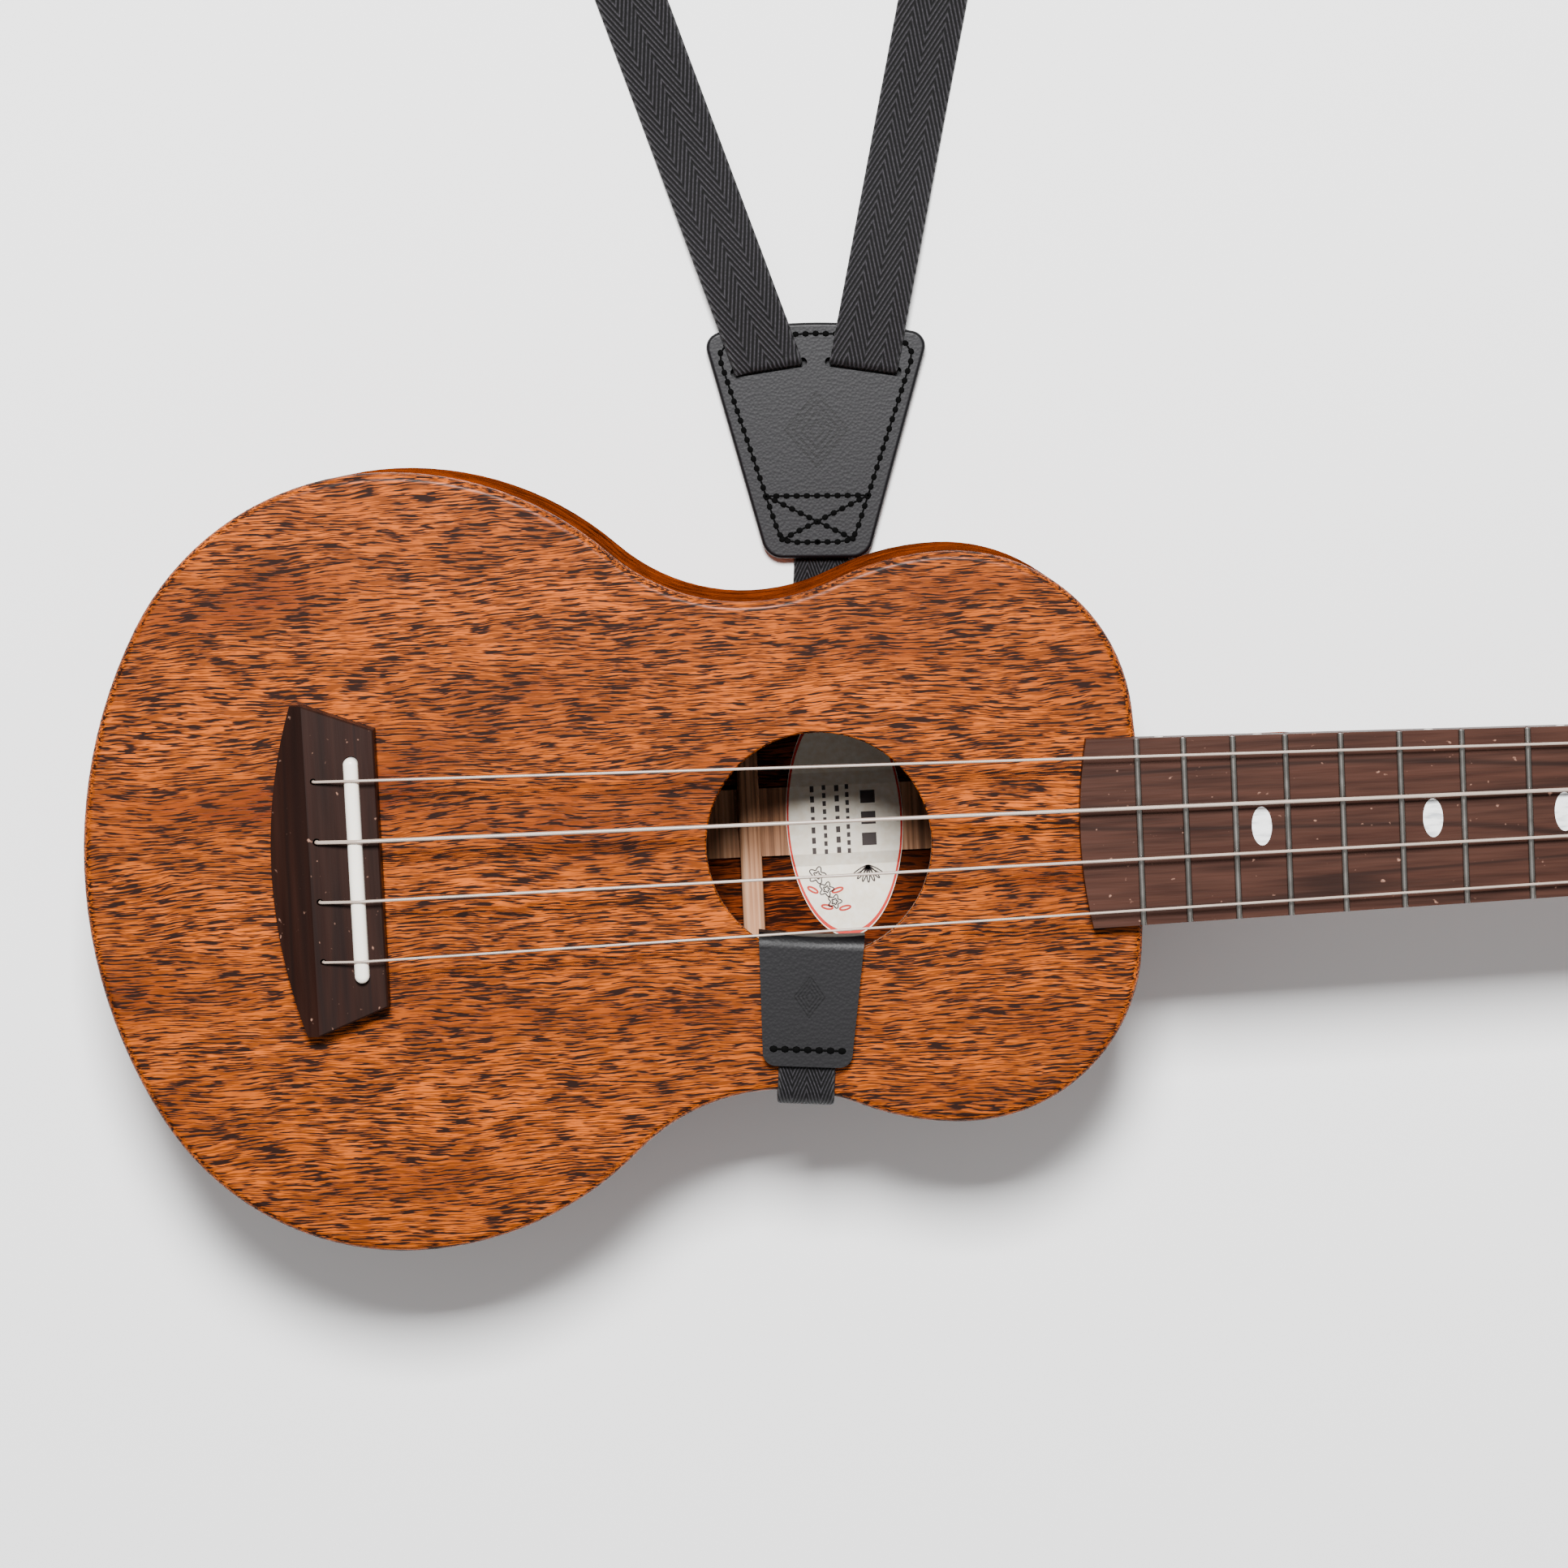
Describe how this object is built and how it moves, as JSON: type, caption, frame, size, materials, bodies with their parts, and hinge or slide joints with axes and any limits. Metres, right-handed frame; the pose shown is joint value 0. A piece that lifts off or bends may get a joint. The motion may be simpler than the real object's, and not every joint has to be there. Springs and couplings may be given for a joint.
{
  "type": "ukulele",
  "caption": "Soprano ukulele with figure-eight wooden sound box, twelve-fret neck, geared tuners and a clip-on neck strap, lying on its back.",
  "frame": {"origin": "on the resting plane below the middle of the body joint, where the twelfth fret stands", "axes": "+X along the neck towards the headstock, +Y towards the fourth string's side, +Z out of the soundboard"},
  "size_m": [0.5223, 0.4818, 0.0739],
  "materials": {
    "mahogany_top": "satin",
    "mahogany": "satin",
    "rosewood": "satin",
    "spruce": "matte",
    "paper": "matte",
    "bone": "polished",
    "pearl": "gloss",
    "white_plastic": "gloss",
    "fret_wire": "polished",
    "string_nylon": "gloss",
    "nickel": "polished",
    "gear_brass": "satin",
    "button_plastic": "gloss",
    "strap_leather": "satin",
    "strap_webbing": "matte",
    "hook_rubber": "satin"
  },
  "bodies": {
    "instrument": {"back_braces": "spruce", "back_centre_strip": "spruce", "back_linings": "spruce", "back_plate": "mahogany", "bass_side": "mahogany", "bridge": "rosewood", "bridge_patch": "spruce", "fretboard": "rosewood", "frets": "fret_wire", "headplate": "rosewood", "label": "paper", "neck": "mahogany", "neck_block": "mahogany", "neck_webbing": "strap_webbing", "nut": "bone", "position_markers": "pearl", "saddle": "bone", "side_dots": "white_plastic", "soundboard": "mahogany_top", "soundboard_braces": "spruce", "strap_hook": "hook_rubber", "string_a": "string_nylon", "string_c": "string_nylon", "string_e": "string_nylon", "string_g": "string_nylon", "tail_block": "mahogany", "top_linings": "spruce", "treble_side": "mahogany", "tuner_bushings": "nickel", "tuner_plates": "nickel", "tuner_screws": "nickel", "wrap_webbing": "strap_webbing", "yoke_back": "strap_leather", "yoke_front": "strap_leather"},
    "tuner_knob_g": {"tuner_worm_g": "nickel", "tuner_button_g": "button_plastic"},
    "string_post_g": {"tuner_post_g": "nickel", "tuner_gear_g": "gear_brass", "gear_screw_g": "nickel", "string_winds_g": "string_nylon"},
    "tuner_knob_c": {"tuner_worm_c": "nickel", "tuner_button_c": "button_plastic"},
    "string_post_c": {"tuner_post_c": "nickel", "tuner_gear_c": "gear_brass", "gear_screw_c": "nickel", "string_winds_c": "string_nylon"},
    "tuner_knob_e": {"tuner_worm_e": "nickel", "tuner_button_e": "button_plastic"},
    "string_post_e": {"tuner_post_e": "nickel", "tuner_gear_e": "gear_brass", "gear_screw_e": "nickel", "string_winds_e": "string_nylon"},
    "tuner_knob_a": {"tuner_worm_a": "nickel", "tuner_button_a": "button_plastic"},
    "string_post_a": {"tuner_post_a": "nickel", "tuner_gear_a": "gear_brass", "gear_screw_a": "nickel", "string_winds_a": "string_nylon"}
  },
  "joints": [
    {"name": "tuner_knob_g_turn", "type": "hinge", "parent": "instrument", "child": "tuner_knob_g", "pos_m": [0.2011, 0.017, 0.04356], "axis": [0, 1, 0], "continuous": true},
    {"name": "string_post_g_turn", "type": "hinge", "parent": "instrument", "child": "string_post_g", "pos_m": [0.21028, 0.017, 0.05694], "axis": [0.2079, 0, 0.9781], "continuous": true},
    {"name": "tuner_knob_c_turn", "type": "hinge", "parent": "instrument", "child": "tuner_knob_c", "pos_m": [0.24022, 0.017, 0.03524], "axis": [0, 1, 0], "continuous": true},
    {"name": "string_post_c_turn", "type": "hinge", "parent": "instrument", "child": "string_post_c", "pos_m": [0.2494, 0.017, 0.04862], "axis": [0.2079, 0, 0.9781], "continuous": true},
    {"name": "tuner_knob_e_turn", "type": "hinge", "parent": "instrument", "child": "tuner_knob_e", "pos_m": [0.24022, -0.017, 0.03524], "axis": [0, 1, 0], "continuous": true},
    {"name": "string_post_e_turn", "type": "hinge", "parent": "instrument", "child": "string_post_e", "pos_m": [0.2494, -0.017, 0.04862], "axis": [0.2079, 0, 0.9781], "continuous": true},
    {"name": "tuner_knob_a_turn", "type": "hinge", "parent": "instrument", "child": "tuner_knob_a", "pos_m": [0.2011, -0.017, 0.04356], "axis": [0, 1, 0], "continuous": true},
    {"name": "string_post_a_turn", "type": "hinge", "parent": "instrument", "child": "string_post_a", "pos_m": [0.21028, -0.017, 0.05694], "axis": [0.2079, 0, 0.9781], "continuous": true}
  ],
  "couplings": [
    {"joint": "string_post_g_turn", "follows": "tuner_knob_g_turn", "ratio": 0.071429},
    {"joint": "string_post_c_turn", "follows": "tuner_knob_c_turn", "ratio": 0.071429},
    {"joint": "string_post_e_turn", "follows": "tuner_knob_e_turn", "ratio": 0.071429},
    {"joint": "string_post_a_turn", "follows": "tuner_knob_a_turn", "ratio": 0.071429}
  ]
}
